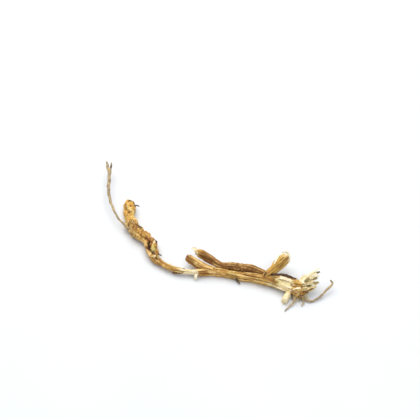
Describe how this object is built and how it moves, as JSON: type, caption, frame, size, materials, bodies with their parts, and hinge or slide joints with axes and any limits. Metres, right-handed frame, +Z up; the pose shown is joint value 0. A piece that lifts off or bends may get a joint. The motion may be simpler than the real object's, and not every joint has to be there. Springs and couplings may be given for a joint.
{
  "type": "nettle root",
  "caption": "Dried nettle root with a gnarled knot, a furrowed body, broken side branches, a frayed end and thin rootlets, lying flat.",
  "frame": {"origin": "centre of the bounding box in plan, on the surface that the root lies on", "axes": "+X from the knot towards the frayed end, along the longest extent; +Z up, across the thickness; +Y away from the viewer of the picture"},
  "size_m": [0.1324, 0.1222, 0.0108],
  "materials": {
    "bark": "dry matte furrowed bark, ochre to red-brown, with pale straw wood where it is torn"
  },
  "bodies": {
    "root": {"nettle_root": "bark"}
  },
  "joints": []
}
